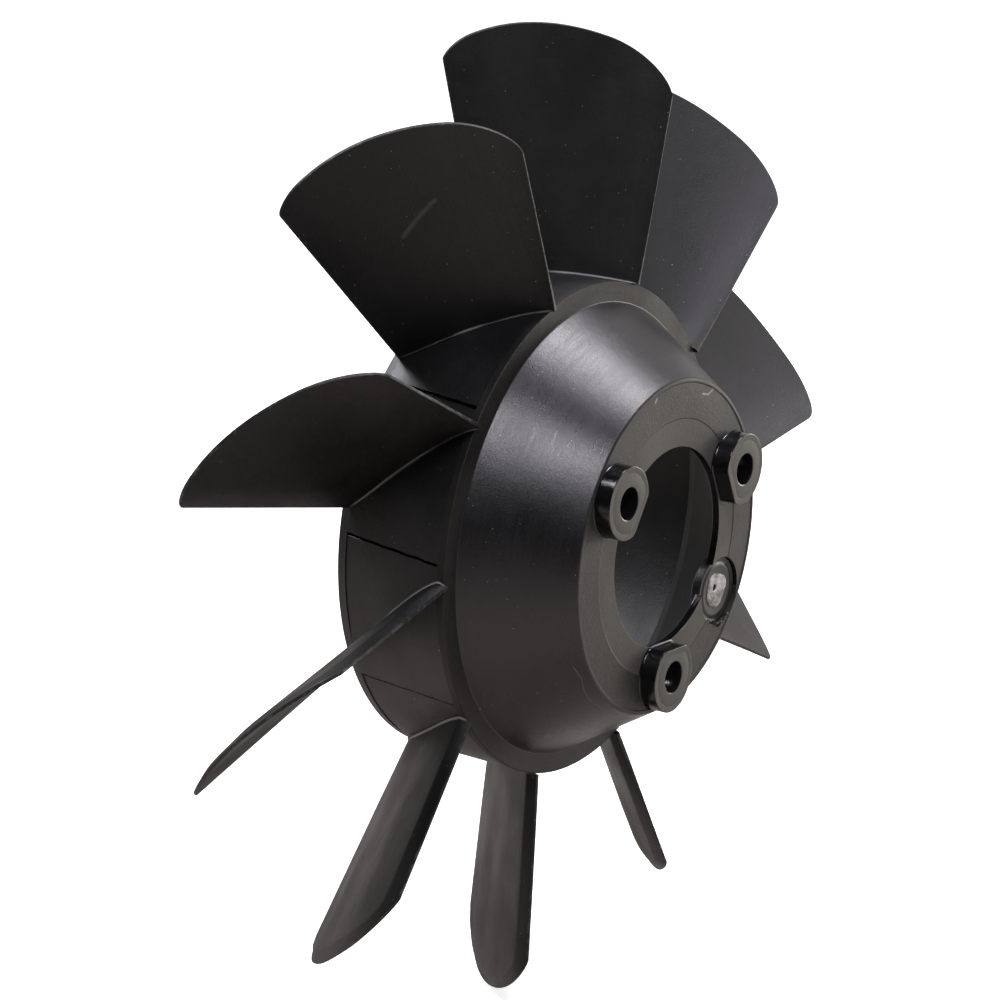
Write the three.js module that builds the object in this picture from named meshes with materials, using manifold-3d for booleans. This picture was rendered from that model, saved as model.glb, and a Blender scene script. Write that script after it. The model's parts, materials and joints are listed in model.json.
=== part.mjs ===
// Axial fan wheel with a cupped hub and ten pitched blades.
// Lengths are in millimetres and angles in degrees. The wheel spins about Y and its mounting face looks to -Y.
// "Ahead" is the distance from the shoulder plane towards the mounting face, so it grows towards -Y.

import * as THREE from 'three';
import { mergeVertices } from 'three/addons/utils/BufferGeometryUtils.js';
import Module from 'manifold-3d';

const wasm = await Module();
wasm.setup();

// ---- Driving dimensions: hub ----
const drumRadius = 66;
const drumDraft = 0.5;
const drumDepth = 33.4;
const lipDepth = 2.9;
const lipDraft = 0.4;
const hubWall = 2.6;
const shoulderWidth = 5.5;
const coneDepth = 26;
const plateThickness = 2.4;
const plateRim = 0.6;

// ---- Driving dimensions: bosses and moulding gate ----
const bossCount = 3;
const boltCircleRadius = 34.3;
const boltHoleRadius = 4.2;
const bossRadius = 9.6;
const bossFlatDistance = 7.8;
const bossHeight = 4.4;
const bossPhase = 23.2;
const gatePadRadius = 9.1;
const gatePadThickness = 2.2;
const gateSink = 1.8;
const gateStubRadius = 4.6;
const gateStubHeight = 0.7;
const gateHoleRadius = 0.9;

// ---- Driving dimensions: blades ----
const bladeCount = 10;
const bladePhase = -4;
const tipRadius = 131;
const rootAhead = 1.1;
const rootBehind = 31.2;
const rootSweep = 23.9;
const rootBow = 1.7;
const rootHook = 0.9;
const tipAhead = 4.5;
const tipBehind = 40.5;
const tipLean = 4.6;
const tipSweep = 20.2;
const tipBow = 4;
const tipCrown = 7.1;
const tipSkew = 2.5;
const frontCornerLength = 0.26;
const frontCornerDrop = 7.9;
const backCornerLength = 0.145;
const backCornerDrop = 3.1;
const rootThickness = 2.2;
const tipThickness = 1.5;
const edgeShare = 0.5;

// ---- Clearances and facets ----
const seam = 0.3;
const ringFacets = 84;
const holeFacets = 14;
const bladeRows = 6;
const bladeColumns = 14;

const FULL_TURN = 2 * Math.PI;

// ---- Solids ----

function finish(name, geometry, material) {
  const mesh = new THREE.Mesh(geometry, material);
  mesh.name = name;
  return mesh;
}

function plastic(colour, roughness) {
  return new THREE.MeshStandardMaterial({ color: colour, roughness, metalness: 0 });
}

function toSolid(geometry) {
  const bare = geometry.clone();
  bare.deleteAttribute('normal');
  bare.deleteAttribute('uv');
  const merged = mergeVertices(bare, 1e-4);
  return new wasm.Manifold(new wasm.Mesh({
    numProp: 3,
    vertProperties: new Float32Array(merged.attributes.position.array),
    triVerts: new Uint32Array(merged.index.array),
  }));
}

function toGeometry(solid) {
  const mesh = solid.getMesh();
  const geometry = new THREE.BufferGeometry();
  geometry.setAttribute('position', new THREE.BufferAttribute(mesh.vertProperties.slice(), 3));
  geometry.setIndex(new THREE.BufferAttribute(mesh.triVerts.slice(), 1));
  return geometry;
}

// A ring of revolution about Y. The outline lists [radius, ahead] corners anticlockwise, seen with the axis on
// the left and the front face at the top, and it is closed here.
function ring(outline) {
  const corners = outline.map(([radius, ahead]) => new THREE.Vector2(radius, -ahead));
  corners.push(corners[0].clone());
  corners.reverse();
  const geometry = new THREE.LatheGeometry(corners, ringFacets);
  geometry.deleteAttribute('normal');
  geometry.deleteAttribute('uv');
  return mergeVertices(geometry, 1e-4);
}

// A flat outline drawn in the wheel's face (X right, Z up) and given a thickness along Y.
function slab(shape, aheadFrom, aheadTo) {
  const geometry = new THREE.ExtrudeGeometry(shape, {
    depth: aheadTo - aheadFrom,
    bevelEnabled: false,
    curveSegments: holeFacets,
  });
  geometry.rotateX(Math.PI / 2);
  geometry.translate(0, -aheadFrom, 0);
  return geometry;
}

function roundHole(x, z, radius) {
  const hole = new THREE.Path();
  hole.absarc(x, z, radius, 0, FULL_TURN, true);
  return hole;
}

function disc(x, z, radius) {
  const shape = new THREE.Shape();
  shape.absarc(x, z, radius, 0, FULL_TURN, false);
  return shape;
}

function onFace(radius, degrees) {
  const angle = THREE.MathUtils.degToRad(degrees);
  return [radius * Math.cos(angle), radius * Math.sin(angle)];
}

// ---- Hub shell ----
// The plate holds the bosses and the gate's notch with a narrow rim outside them, and the bosses' flats line up
// with the edge of its opening.

const plateRadius = boltCircleRadius + Math.max(bossRadius, gatePadRadius + seam) + plateRim;
const openingRadius = boltCircleRadius - bossFlatDistance;
const coneSlope = (drumRadius - shoulderWidth - plateRadius) / coneDepth;
const coneWallAcross = hubWall * Math.hypot(1, coneSlope);
const plateBack = coneDepth - plateThickness;

function coneRadiusAt(ahead) {
  return drumRadius - shoulderWidth - coneSlope * ahead;
}

function drumRadiusAt(ahead) {
  const straight = drumDepth - lipDepth;
  const behind = Math.max(-ahead, 0);
  const draft = drumDraft * Math.min(behind / straight, 1);
  return drumRadius - draft;
}

function makeDrum() {
  const front = -hubWall - seam;
  const back = -(drumDepth - lipDepth) + seam / 2;
  return ring([
    [drumRadiusAt(front), front],
    [drumRadiusAt(front) - hubWall, front],
    [drumRadiusAt(back) - hubWall, back],
    [drumRadiusAt(back), back],
  ]);
}

function makeRearLip() {
  const front = -(drumDepth - lipDepth) - seam / 2;
  const outer = drumRadiusAt(front);
  return ring([
    [outer, front],
    [outer - hubWall, front],
    [outer - hubWall, -drumDepth],
    [outer - lipDraft, -drumDepth],
  ]);
}

function makeShoulder() {
  const inner = coneRadiusAt(0) - coneWallAcross;
  return ring([
    [drumRadius, 0],
    [inner, 0],
    [inner, -hubWall],
    [drumRadiusAt(-hubWall), -hubWall],
  ]);
}

// The cone's wall, and with a margin the room that its neighbours leave it.
function makeCone(margin = 0) {
  const back = seam;
  const front = plateBack - seam;
  const outside = margin;
  const inside = -coneWallAcross - margin;
  return ring([
    [coneRadiusAt(front) + outside, front + margin],
    [coneRadiusAt(front) + inside, front + margin],
    [coneRadiusAt(back) + inside, back - margin],
    [coneRadiusAt(back) + outside, back - margin],
  ]);
}

// ---- Mounting plate, bosses and gate ----

const gateAngle = bossPhase - 180 / bossCount;

function bossAngle(index) {
  return bossPhase + index * 360 / bossCount;
}

function makePlate() {
  let solid = toSolid(ring([
    [coneRadiusAt(coneDepth), coneDepth],
    [openingRadius, coneDepth],
    [openingRadius, plateBack],
    [coneRadiusAt(plateBack), plateBack],
  ]));
  const cutBack = plateBack - plateThickness;
  const cutFront = coneDepth + plateThickness;
  for (let index = 0; index < bossCount; index += 1) {
    const [x, z] = onFace(boltCircleRadius, bossAngle(index));
    solid = solid.subtract(toSolid(slab(disc(x, z, boltHoleRadius), cutBack, cutFront)));
  }
  const [x, z] = onFace(boltCircleRadius, gateAngle);
  solid = solid.subtract(toSolid(slab(disc(x, z, gatePadRadius + seam), cutBack, cutFront)));
  return toGeometry(solid);
}

// Round boss with a flat that lines up with the edge of the central opening.
function makeBoss(index) {
  const angle = THREE.MathUtils.degToRad(bossAngle(index));
  const [x, z] = onFace(boltCircleRadius, bossAngle(index));
  const halfOpening = Math.acos(bossFlatDistance / bossRadius);
  const inward = angle + Math.PI;
  const shape = new THREE.Shape();
  shape.absarc(x, z, bossRadius, inward + halfOpening, inward - halfOpening + FULL_TURN, false);
  shape.closePath();
  shape.holes.push(roundHole(x, z, boltHoleRadius));
  return slab(shape, coneDepth + seam, coneDepth + bossHeight);
}

// The pad sits below the plate's face and stands out behind it, where the cone's wall trims its rim.
function makeGatePad() {
  const [x, z] = onFace(boltCircleRadius, gateAngle);
  const front = coneDepth - gateSink;
  const pad = toSolid(slab(disc(x, z, gatePadRadius), front - gatePadThickness, front));
  return toGeometry(pad.subtract(toSolid(makeCone(seam))));
}

function makeGateStub() {
  const [x, z] = onFace(boltCircleRadius, gateAngle);
  const front = coneDepth - gateSink;
  const shape = disc(x, z, gateStubRadius);
  shape.holes.push(roundHole(x, z, gateHoleRadius));
  return slab(shape, front + seam, front + seam + gateStubHeight);
}

// ---- Blades ----
// A blade is ruled between a root line on the drum and a tip line. Along both, chord runs from 0 at the back
// edge to 1 at the front edge. Its sections are drawn on cylinders about Y.

function arch(chord) {
  return 4 * chord * (1 - chord);
}

// Bow that peaks near the front edge, with a height of about one.
function hook(chord) {
  return 12.2 * chord ** 4 * (1 - chord);
}

// How far a rounded corner has fallen away, from 0 to 1, where its arc covers the given share of the chord.
function cornerFall(distance, share) {
  const reach = Math.max(1 - distance / share, 0);
  return 1 - Math.sqrt(1 - reach * reach);
}

function rootLine(chord) {
  const ahead = THREE.MathUtils.lerp(-rootBehind, rootAhead, chord);
  const degrees = bladePhase + rootSweep * (1 - chord) - rootBow * arch(chord) - rootHook * hook(chord);
  return { radius: drumRadiusAt(ahead) + seam, ahead, degrees };
}

function tipLine(chord) {
  const ahead = THREE.MathUtils.lerp(-tipBehind, tipAhead, chord) - tipBow * arch(chord);
  const degrees = bladePhase + tipLean + tipSweep * (1 - chord);
  const radius = tipRadius
    - tipSkew * (chord - 0.5)
    - tipCrown * (1 - arch(chord))
    - backCornerDrop * cornerFall(chord, backCornerLength)
    - frontCornerDrop * cornerFall(1 - chord, frontCornerLength);
  return { radius, ahead, degrees };
}

function toPoint({ radius, ahead, degrees }) {
  const [x, z] = onFace(radius, degrees);
  return new THREE.Vector3(x, -ahead, z);
}

function middlePoint(span, chord) {
  return toPoint(rootLine(chord)).lerp(toPoint(tipLine(chord)), span);
}

function bladeThickness(span, chord) {
  const body = THREE.MathUtils.lerp(rootThickness, tipThickness, span);
  const edge = edgeShare + (1 - edgeShare) * Math.sqrt(arch(chord));
  return body * edge;
}

// The point on one face of the blade: side is 1 for the face that looks ahead and -1 for the one behind.
function facePoint(span, chord, side) {
  const step = 0.01;
  const point = middlePoint(span, chord);
  const along = middlePoint(span, Math.min(chord + step, 1)).sub(middlePoint(span, Math.max(chord - step, 0)));
  const radius = Math.hypot(point.x, point.z);
  const angle = Math.atan2(point.z, point.x);
  const alongAhead = -along.y;
  const alongTurn = (along.z * point.x - along.x * point.z) / radius;
  const length = Math.hypot(alongAhead, alongTurn);
  const offset = side * bladeThickness(span, chord) / 2;
  const turned = angle + offset * alongAhead / length / radius;
  const shiftedAhead = -point.y - offset * alongTurn / length;
  const heldRadius = span === 0 ? Math.max(radius, drumRadiusAt(shiftedAhead) + seam) : radius;
  return [heldRadius * Math.cos(turned), -shiftedAhead, heldRadius * Math.sin(turned)];
}

function makeBlade() {
  const positions = [];
  const triangles = [];
  const index = (side, row, column) => {
    const face = side === 1 ? 0 : 1;
    return (face * (bladeRows + 1) + row) * (bladeColumns + 1) + column;
  };
  for (const side of [1, -1]) {
    for (let row = 0; row <= bladeRows; row += 1) {
      for (let column = 0; column <= bladeColumns; column += 1) {
        const chord = (1 - Math.cos(Math.PI * column / bladeColumns)) / 2;
        positions.push(...facePoint(row / bladeRows, chord, side));
      }
    }
  }
  const quad = (a, b, c, d) => triangles.push(a, b, c, a, c, d);
  for (let row = 0; row < bladeRows; row += 1) {
    for (let column = 0; column < bladeColumns; column += 1) {
      quad(index(1, row, column), index(1, row, column + 1),
        index(1, row + 1, column + 1), index(1, row + 1, column));
      quad(index(-1, row, column), index(-1, row + 1, column),
        index(-1, row + 1, column + 1), index(-1, row, column + 1));
    }
    quad(index(1, row, 0), index(1, row + 1, 0), index(-1, row + 1, 0), index(-1, row, 0));
    quad(index(1, row, bladeColumns), index(-1, row, bladeColumns),
      index(-1, row + 1, bladeColumns), index(1, row + 1, bladeColumns));
  }
  for (let column = 0; column < bladeColumns; column += 1) {
    quad(index(1, 0, column), index(-1, 0, column), index(-1, 0, column + 1), index(1, 0, column + 1));
    quad(index(1, bladeRows, column), index(1, bladeRows, column + 1),
      index(-1, bladeRows, column + 1), index(-1, bladeRows, column));
  }
  const geometry = new THREE.BufferGeometry();
  geometry.setAttribute('position', new THREE.BufferAttribute(new Float32Array(positions), 3));
  geometry.setIndex(triangles);
  return geometry;
}

// ---- Assembly ----

const wheel = new THREE.Group();

wheel.add(finish('hub_drum', makeDrum(), plastic(0x2b2a2a, 0.5)));
wheel.add(finish('rear_lip', makeRearLip(), plastic(0x2a2929, 0.5)));
wheel.add(finish('shoulder_ring', makeShoulder(), plastic(0x2d2c2c, 0.5)));
wheel.add(finish('cone_shell', makeCone(), plastic(0x2c2c2e, 0.4)));
wheel.add(finish('mounting_plate', makePlate(), plastic(0x3a3833, 0.6)));
wheel.add(finish('gate_pad', makeGatePad(), plastic(0x252422, 0.4)));
wheel.add(finish('gate_stub', makeGateStub(), plastic(0x6f6c64, 0.7)));

for (let index = 0; index < bossCount; index += 1) {
  wheel.add(finish(`boss_${index + 1}`, makeBoss(index), plastic(0x35332f, 0.45)));
}

const bladeGeometry = makeBlade();
for (let index = 0; index < bladeCount; index += 1) {
  const blade = finish(`blade_${String(index + 1).padStart(2, '0')}`, bladeGeometry.clone(), plastic(0x201f20, 0.6));
  blade.rotation.y = -index * FULL_TURN / bladeCount;
  wheel.add(blade);
}

// The origin is on the spin axis, half way between the rearmost blade corner and the boss faces.
wheel.updateMatrixWorld(true);
const extent = new THREE.Box3().setFromObject(wheel, true);
wheel.position.y = -(extent.min.y + extent.max.y) / 2;

export default wheel;
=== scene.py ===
# %% [markdown]
# # A moulded fan wheel
# The wheel is one black plastic moulding: ten pitched blades on a cup-shaped hub, which bolts to a motor
# through three bosses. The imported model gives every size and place. This script adds what a plain solid
# lacks: rounded edges, moulding steps, bevelled blade rims, grain, dust, scratches and a studio to see it in.

# %% Load the frame
import json
import math

import bmesh
import bpy
import numpy as np
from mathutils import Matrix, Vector


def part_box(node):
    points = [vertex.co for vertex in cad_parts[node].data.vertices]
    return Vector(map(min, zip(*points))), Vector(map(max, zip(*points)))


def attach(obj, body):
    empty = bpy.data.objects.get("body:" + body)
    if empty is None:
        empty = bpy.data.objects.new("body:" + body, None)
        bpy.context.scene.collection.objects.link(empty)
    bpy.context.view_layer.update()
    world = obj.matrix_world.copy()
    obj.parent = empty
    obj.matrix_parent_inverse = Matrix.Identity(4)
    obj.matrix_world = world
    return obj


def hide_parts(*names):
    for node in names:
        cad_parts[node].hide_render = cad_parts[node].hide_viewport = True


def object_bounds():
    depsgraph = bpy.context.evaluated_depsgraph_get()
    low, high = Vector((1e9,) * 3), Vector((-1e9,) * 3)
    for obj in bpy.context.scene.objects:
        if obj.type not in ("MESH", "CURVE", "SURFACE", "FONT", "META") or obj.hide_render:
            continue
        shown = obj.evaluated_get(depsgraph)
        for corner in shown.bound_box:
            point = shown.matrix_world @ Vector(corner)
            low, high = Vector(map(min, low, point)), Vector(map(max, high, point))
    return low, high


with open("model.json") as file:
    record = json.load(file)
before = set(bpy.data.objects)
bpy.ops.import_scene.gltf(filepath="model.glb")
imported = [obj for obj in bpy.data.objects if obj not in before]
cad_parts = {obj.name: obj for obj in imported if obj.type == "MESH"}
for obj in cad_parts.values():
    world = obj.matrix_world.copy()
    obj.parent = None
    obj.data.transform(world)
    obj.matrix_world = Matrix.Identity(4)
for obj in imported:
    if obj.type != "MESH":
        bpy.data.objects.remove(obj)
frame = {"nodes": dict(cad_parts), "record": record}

cad_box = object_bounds()
MM = 0.001
BODY = "root"
print("frame:", len(frame["nodes"]), "nodes, box", [[round(v, 4) for v in corner] for corner in cad_box])

# %% [markdown]
# ## Sizes
# The hub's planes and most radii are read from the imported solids, so a change there moves the looks with it.
# "Ahead" is the distance in millimetres from the shoulder plane towards the bolted face, which looks to -Y.

# %% Read the hub's sizes
SHOULDER_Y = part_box("shoulder_ring")[0][1]


def ahead_of_shoulder(y):
    """A place along Y, as millimetres ahead of the shoulder plane."""
    return (SHOULDER_Y - y) / MM


def depths(node):
    """How far ahead a piece's front and back lie."""
    low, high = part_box(node)
    return ahead_of_shoulder(low[1]), ahead_of_shoulder(high[1])


def outer_radius(node):
    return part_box(node)[1][0] / MM


WALL = -depths("shoulder_ring")[1]
PLATE_FRONT, PLATE_BACK = depths("mounting_plate")
LIP_FRONT, LIP_BACK = depths("rear_lip")
BOSS_FRONT = depths("boss_1")[0]
DRUM_RADIUS = outer_radius("shoulder_ring")
LIP_RADIUS = outer_radius("rear_lip")
CREASE_RADIUS = outer_radius("cone_shell") + 0.2
CONE_SLOPE = (CREASE_RADIUS - outer_radius("mounting_plate")) / PLATE_BACK
OPENING_RADIUS = 26.5
INNER_ZONE_RADIUS = 34.0
print(f"drum {DRUM_RADIUS:.1f}, wall {WALL:.1f}, plate {PLATE_BACK:.1f} to {PLATE_FRONT:.1f}")

# %% [markdown]
# The bolt holes are stated as openings in the record, so their centres come from there. The gate is the round
# pad where the plastic entered the mould; the pale stub on it is where the runner was sheared off.

# %% Read the bolt circle and the gate


def centre_of(low, high):
    """X and Z of a box's middle, in millimetres."""
    return (low[0] + high[0]) / 2 / MM, (low[2] + high[2]) / 2 / MM


openings = {item["name"]: item["box_m"] for item in frame["record"]["physics"]["openings"]}
bolt_x, bolt_z = centre_of(*openings["bolt_hole_1"])
BOLT_RADIUS = math.hypot(bolt_x, bolt_z)
BOLT_ANGLE = math.degrees(math.atan2(bolt_z, bolt_x))
BOLT_HOLE = 4.2
BOSS_RADIUS = 9.6
BOSS_COUNT = 3
GATE_X, GATE_Z = centre_of(*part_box("gate_pad"))
STUB_X, STUB_Z = centre_of(*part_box("gate_stub"))
PAD_RADIUS = (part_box("gate_pad")[1][0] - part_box("gate_pad")[0][0]) / MM / 2
PAD_FRONT, PAD_BACK = depths("gate_pad")
print(f"bolt circle {BOLT_RADIUS:.2f} at {BOLT_ANGLE:.1f} degrees, gate pad {PAD_RADIUS:.1f} in radius")

# %% [markdown]
# ## Node trees in few words
# Finishes, the room and the pieces that repeat are all node trees. A small class adds nodes to one tree, sets
# their sockets from numbers or from other nodes, and gives names to the sums that come up most.

# %% Helpers for node trees
SOCKET_KINDS = {float: "Float", int: "Int", bool: "Bool", tuple: "Vector"}


class Wires:
    """Adds nodes to one tree and joins them."""

    def __init__(self, tree):
        self.tree = tree

    def feed(self, value, socket):
        """Sets a socket, from another socket or from a plain value."""
        if isinstance(value, bpy.types.NodeSocket):
            self.tree.links.new(value, socket)
        else:
            socket.default_value = value

    def add(self, kind, sockets=None, **settings):
        """A new node with its settings, and its sockets by name or number."""
        node = self.tree.nodes.new(kind)
        for label, value in settings.items():
            setattr(node, label, value)
        for label, value in (sockets or {}).items():
            self.feed(value, node.inputs[label])
        return node

    def give(self, **values):
        """Feeds the outputs of a group."""
        for label, value in values.items():
            self.feed(value, self.end[label])

    def maths(self, operation, *values):
        return self.add("ShaderNodeMath", dict(enumerate(values)), operation=operation).outputs["Value"]

    def plus(self, *values):
        return self.maths("ADD", *values)

    def times(self, *values):
        return self.maths("MULTIPLY", *values)

    def vector(self, operation, *values, output="Vector"):
        return self.add("ShaderNodeVectorMath", dict(enumerate(values)), operation=operation).outputs[output]

    def axes(self, **values):
        return self.add("ShaderNodeCombineXYZ", values).outputs["Vector"]

    def place(self):
        return self.add("ShaderNodeTexCoord").outputs["Object"]

    def field(self, name):
        """A number that the mesh carries at each point."""
        return self.add("ShaderNodeAttribute", attribute_name=name).outputs["Fac"]

    def noise(self, vector, scale, detail=2.0, roughness=0.5):
        sockets = {"Vector": vector, "Scale": scale, "Detail": detail, "Roughness": roughness}
        return self.add("ShaderNodeTexNoise", sockets).outputs["Fac"]

    def ramp(self, value, low, high, out_low=0.0, out_high=1.0):
        """A smooth step from one level to another."""
        sockets = {"Value": value, "From Min": low, "From Max": high, "To Min": out_low, "To Max": out_high}
        return self.add("ShaderNodeMapRange", sockets, interpolation_type="SMOOTHSTEP").outputs["Result"]

    def mix(self, amount, low, high):
        """A blend of two colours."""
        return self.add("ShaderNodeMix", {0: amount, 6: low, 7: high}, data_type="RGBA").outputs[2]

    def group(self, tree, sockets=None):
        return self.add("ShaderNodeGroup", sockets, node_tree=tree).outputs

    def bump(self, strength, distance, height, normal=None):
        node = self.add("ShaderNodeBump", {"Strength": strength, "Distance": distance, "Height": height})
        if normal is not None:
            self.feed(normal, node.inputs["Normal"])
        return node.outputs["Normal"]


def new_tree(name, kind, inputs, outputs):
    """A node group: its wires, and the sockets of its inputs. A word in place of a value names a kind."""
    tree = bpy.data.node_groups.new(name, kind + "NodeTree")
    for label, value in inputs.items():
        plain = type(value) in SOCKET_KINDS
        socket_kind = "NodeSocket" + (SOCKET_KINDS[type(value)] if plain else value)
        socket = tree.interface.new_socket(label, in_out="INPUT", socket_type=socket_kind)
        if plain:
            socket.default_value = value
    for label in outputs:
        socket_kind = "NodeSocketGeometry" if kind == "Geometry" else "NodeSocketFloat"
        tree.interface.new_socket(label, in_out="OUTPUT", socket_type=socket_kind)
    wires = Wires(tree)
    wires.end = wires.add("NodeGroupOutput").inputs
    return wires, wires.add("NodeGroupInput").outputs


print("node helpers ready, socket kinds", sorted(SOCKET_KINDS.values()))

# %% [markdown]
# ## Studio
# Black plastic shows almost nothing of its own colour: what the eye reads is the reflection of the studio. A
# pale room with a dark side behind the camera keeps the faces that look at the camera black, while faces seen
# at a slant pick up its light.

# %% Camera
VIEW_AZIMUTH = math.radians(-56.516)
VIEW_ELEVATION = math.radians(18.786)
VIEW_DISTANCE = 0.91433
AIM = Vector((-0.0081, 0.01618, 0.00638))
LENS = 124.25

to_camera = Vector((
    math.sin(VIEW_AZIMUTH) * math.cos(VIEW_ELEVATION),
    -math.cos(VIEW_AZIMUTH) * math.cos(VIEW_ELEVATION),
    math.sin(VIEW_ELEVATION),
))


def set_up(name, data, place, looks_along):
    """Links a camera or a lamp, turned to look along a direction."""
    thing = bpy.data.objects.new(name, data)
    thing.location = place
    thing.rotation_euler = looks_along.to_track_quat("-Z", "Y").to_euler()
    bpy.context.collection.objects.link(thing)
    return thing


camera_data = bpy.data.cameras.new("studio_camera")
camera_data.lens = LENS
camera_data.sensor_width = 36
camera_data.clip_start = 0.01
camera = set_up("studio_camera", camera_data, AIM + to_camera * VIEW_DISTANCE, -to_camera)
bpy.context.scene.camera = camera
print("camera at", [round(v, 4) for v in camera.location])

# %% [markdown]
# The room is a world shader. It is dark on the camera's side, bright behind the wheel, and half bright on the
# right, where a pale wall stands. What the camera sees behind the wheel stays plain and white, so the dark
# side shows only in the plastic.

# %% Room
DARK_SIDE = 0.009
BACK_WALL = 0.37
RIGHT_WALL = 0.35
BACK_DIRECTION = Vector((0.70, 0.70, 0.12)).normalized()
RIGHT_DIRECTION = Vector((0.97, -0.22, 0.10)).normalized()

world = bpy.data.worlds.new("white_room")
bpy.context.scene.world = world
world.use_nodes = True
world.node_tree.nodes.clear()
room = Wires(world.node_tree)
looking = room.add("ShaderNodeTexCoord").outputs["Generated"]


def wall(direction, edge, full, level):
    """Brightness of a wall in one direction, which fades in between two cosines."""
    return room.ramp(room.vector("DOT_PRODUCT", looking, direction, output="Value"), edge, full, 0.0, level)


back_wall = wall(BACK_DIRECTION, -0.05, 0.75, BACK_WALL)
right_wall = wall(RIGHT_DIRECTION, 0.25, 0.85, RIGHT_WALL)
brightness = room.plus(room.plus(back_wall, right_wall), DARK_SIDE)
lit = room.add("ShaderNodeBackground", {"Color": (1.0, 0.97, 0.93, 1), "Strength": brightness})
seen = room.add("ShaderNodeBackground", {"Color": (1, 1, 1, 1)})
camera_ray = room.add("ShaderNodeLightPath").outputs["Is Camera Ray"]
pick = room.add("ShaderNodeMixShader", {0: camera_ray, 1: lit.outputs[0], 2: seen.outputs[0]})
room.add("ShaderNodeOutputWorld", {"Surface": pick.outputs[0]})
bpy.context.scene.view_settings.view_transform = "Standard"
print("room: dark side", DARK_SIDE, "back wall", BACK_WALL, "right wall", RIGHT_WALL)

# %% [markdown]
# Four soft boxes do the rest. One hangs overhead to the right and draws the broad sheen on top of the cone.
# One above the camera draws the second sheen on the cone's left. One behind on the left lights the drum
# between the upper blades, and a warm one on the right lights the front plate at a slant.

# %% Soft boxes


def soft_box(name, place, size, power, colour):
    """An area light that looks at the wheel's centre."""
    data = bpy.data.lights.new(name, "AREA")
    data.shape = "RECTANGLE"
    data.size, data.size_y = size
    data.energy = power
    data.color = colour
    set_up(name, data, place, -Vector(place))


soft_box("overhead_box", (0.40, -0.17, 0.84), (0.34, 0.26), 7.6, (0.96, 0.92, 1.0))
soft_box("camera_side_box", (-0.46, -0.46, 0.85), (0.24, 0.24), 6.6, (0.95, 0.92, 1.0))
soft_box("rear_left_box", (-0.27, 0.62, 1.02), (0.34, 0.34), 17, (0.92, 0.92, 1.0))
soft_box("warm_slant_box", (0.62, -0.27, -0.03), (0.22, 0.30), 1.7, (1.0, 0.97, 0.89))
print("soft boxes:", len(bpy.data.lights))

# %% [markdown]
# ## Node groups for the finishes
# Moulded plastic is never one flat colour. A few small effects make it, each a node group that is built once.
# The grain mixes a coarse cloud with a fine speckle. The cloud also stands for the uneven sheen that plastic
# keeps where it cooled faster.

# %% Grain
grain, ask = new_tree("moulded_grain", "Shader", {"Fine Scale": 2600.0, "Cloud Scale": 38.0},
                      ("Height", "Cloud", "Speckle"))
here = grain.place()
speckle = grain.noise(here, ask["Fine Scale"], 3.0, 0.6)
middle = grain.noise(here, grain.times(ask["Cloud Scale"], 9.0), 3.0, 0.5)
grain.give(Height=grain.plus(grain.times(speckle, 0.6), grain.times(middle, 0.4)), Speckle=speckle,
           Cloud=grain.noise(here, ask["Cloud Scale"], 4.0, 0.55))
GRAIN = grain.tree
print("group", GRAIN.name)

# %% [markdown]
# Turned marks run round the spin axis. The place is rebuilt as a direction round the axis, which changes
# slowly, and a radius and a depth, which change fast, so the noise is drawn out into fine circles. A
# direction has no seam, where an angle would jump.

# %% Turned marks
marks, ask = new_tree("turned_marks", "Shader", {"Fineness": 900.0, "Length": 4.5}, ("Height", "Shade"))
split = marks.add("ShaderNodeSeparateXYZ", {"Vector": marks.place()}).outputs
square = marks.plus(marks.times(split["X"], split["X"]), marks.times(split["Z"], split["Z"]))
radius = marks.maths("SQRT", square)
along_x, along_z = (marks.times(marks.maths("DIVIDE", split[axis], radius), ask["Length"]) for axis in "XZ")
drawn = marks.axes(X=along_x, Y=marks.times(marks.plus(radius, split["Y"]), ask["Fineness"]), Z=along_z)
fine = marks.noise(drawn, 1.0, 4.0, 0.65)
marks.give(Height=fine, Shade=marks.times(fine, marks.noise(drawn, 0.22)))
TURNED = marks.tree
print("group", TURNED.name)

# %% [markdown]
# Dust is a scatter of tiny pale dots. A Voronoi texture gives each cell one dot, and the cell's random colour
# decides whether the dot is there and how large it is.

# %% Dust
dust, ask = new_tree("dust_specks", "Shader", {"Cells": 760.0, "Share": 0.10, "Size": 0.095}, ("Mask",))
layout = {"Vector": dust.place(), "Scale": ask["Cells"]}
cells = dust.add("ShaderNodeTexVoronoi", layout, feature="F1").outputs
chances = dust.add("ShaderNodeSeparateColor", {"Color": cells["Color"]}).outputs
size = dust.times(ask["Size"], dust.plus(chances["Green"], 0.35))
dust.give(Mask=dust.times(dust.maths("LESS_THAN", chances["Red"], ask["Share"]),
                          dust.maths("LESS_THAN", cells["Distance"], size)))
DUST = dust.tree
print("group", DUST.name)

# %% [markdown]
# The blades keep faint streaks that run along their span, where the mould was polished. The blade's mesh
# carries its own chord and span, so the streaks follow its shape.

# %% Span streaks
streaks, ask = new_tree("span_streaks", "Shader", {"Count": 90.0, "Front Share": 0.45}, ("Mask",))
chord = streaks.field("chord")
drawn = streaks.axes(X=streaks.times(chord, ask["Count"]), Y=streaks.times(streaks.field("span"), 1.6))
fine = streaks.noise(drawn, 1.0, 3.0, 0.6)
streaks.give(Mask=streaks.times(fine, streaks.ramp(chord, ask["Front Share"], 0.95)))
STREAKS = streaks.tree
print("group", STREAKS.name)

# %% [markdown]
# A hairline scratch is the set of places near a line from one point to another. The group finds the nearest
# point on that line and turns the distance into a mask, with a little noise so the scratch isn't even.

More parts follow.
